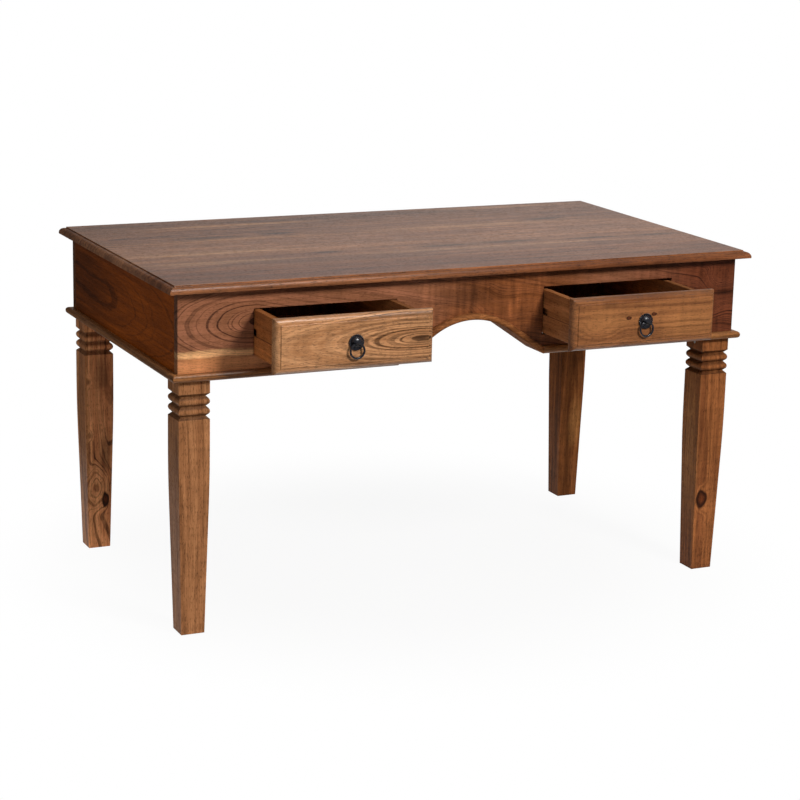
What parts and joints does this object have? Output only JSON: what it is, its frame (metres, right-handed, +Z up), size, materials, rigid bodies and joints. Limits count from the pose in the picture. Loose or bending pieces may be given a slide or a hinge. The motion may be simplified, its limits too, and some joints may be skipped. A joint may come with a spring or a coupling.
{
  "type": "writing desk",
  "caption": "Rectangular wooden writing desk with moulded top, arched kneehole, tapered legs with turned-look beads, and drawers with black iron ring pulls, shown partly open.",
  "frame": {"origin": "on the floor, midway between the four feet", "axes": "+X along the desk to the sitter's right, -Y towards the sitter, the way the drawers open, +Z up"},
  "size_m": [1.4, 0.9412, 0.765],
  "materials": {
    "top_acacia": "satin lacquer, greyish brown",
    "apron_acacia": "satin lacquer, reddish brown with dark grain",
    "panel_acacia": "satin lacquer, dark reddish brown",
    "frame_acacia": "satin lacquer, mid brown",
    "leg_acacia": "satin lacquer, mid brown with knots",
    "drawer_front_acacia": "satin lacquer, golden brown",
    "inner_hardwood": "sanded, thin lacquer",
    "plywood": "sanded plywood",
    "black_iron": "blackened, worn smooth on the high spots",
    "zinc_steel": "zinc plated"
  },
  "bodies": {
    "desk": {"arched_board": "frame_acacia", "back_apron": "panel_acacia", "back_frame_board": "frame_acacia", "back_left_corner_block": "inner_hardwood", "back_left_leg": "leg_acacia", "back_right_corner_block": "inner_hardwood", "back_right_leg": "leg_acacia", "back_top_batten": "inner_hardwood", "batten_screws": "zinc_steel", "front_apron": "apron_acacia", "front_left_corner_block": "inner_hardwood", "front_left_frame_board": "frame_acacia", "front_left_leg": "leg_acacia", "front_right_corner_block": "inner_hardwood", "front_right_frame_board": "frame_acacia", "front_right_leg": "leg_acacia", "front_top_batten": "inner_hardwood", "left_drawer_left_guide": "inner_hardwood", "left_drawer_left_runner": "inner_hardwood", "left_drawer_right_guide": "inner_hardwood", "left_drawer_right_runner": "inner_hardwood", "left_frame_board": "frame_acacia", "left_side_panel": "panel_acacia", "left_top_batten": "inner_hardwood", "leg_bolts": "zinc_steel", "leg_locking_screws": "zinc_steel", "leg_nuts": "zinc_steel", "leg_washers": "zinc_steel", "right_drawer_left_guide": "inner_hardwood", "right_drawer_left_runner": "inner_hardwood", "right_drawer_right_guide": "inner_hardwood", "right_drawer_right_runner": "inner_hardwood", "right_frame_board": "frame_acacia", "right_side_panel": "panel_acacia", "right_top_batten": "inner_hardwood", "runner_screws": "zinc_steel", "top_board_1": "top_acacia", "top_board_2": "top_acacia", "top_board_3": "top_acacia", "top_board_4": "top_acacia", "top_board_5": "top_acacia"},
    "left_drawer": {"left_drawer_back": "inner_hardwood", "left_drawer_floor": "plywood", "left_drawer_front": "drawer_front_acacia", "left_drawer_left_side": "inner_hardwood", "left_drawer_pull_nut": "zinc_steel", "left_drawer_pull_plate": "black_iron", "left_drawer_pull_post": "black_iron", "left_drawer_right_side": "inner_hardwood"},
    "left_ring": {"left_drawer_pull_ring": "black_iron"},
    "right_drawer": {"right_drawer_back": "inner_hardwood", "right_drawer_floor": "plywood", "right_drawer_front": "drawer_front_acacia", "right_drawer_left_side": "inner_hardwood", "right_drawer_pull_nut": "zinc_steel", "right_drawer_pull_plate": "black_iron", "right_drawer_pull_post": "black_iron", "right_drawer_right_side": "inner_hardwood"},
    "right_ring": {"right_drawer_pull_ring": "black_iron"}
  },
  "joints": [
    {"name": "left_drawer_slide", "type": "slide", "parent": "desk", "child": "left_drawer", "axis": [0, -1, 0], "range_m": [-0.1375, 0.092]},
    {"name": "left_ring_swing", "type": "hinge", "parent": "left_drawer", "child": "left_ring", "pos_m": [-0.3425, -0.5325, 0.6515], "axis": [-1, 0, 0], "range_deg": [-4, 95]},
    {"name": "right_drawer_slide", "type": "slide", "parent": "desk", "child": "right_drawer", "axis": [0, -1, 0], "range_m": [-0.1445, 0.085]},
    {"name": "right_ring_swing", "type": "hinge", "parent": "right_drawer", "child": "right_ring", "pos_m": [0.3425, -0.5395, 0.6515], "axis": [-1, 0, 0], "range_deg": [-4, 95]}
  ]
}
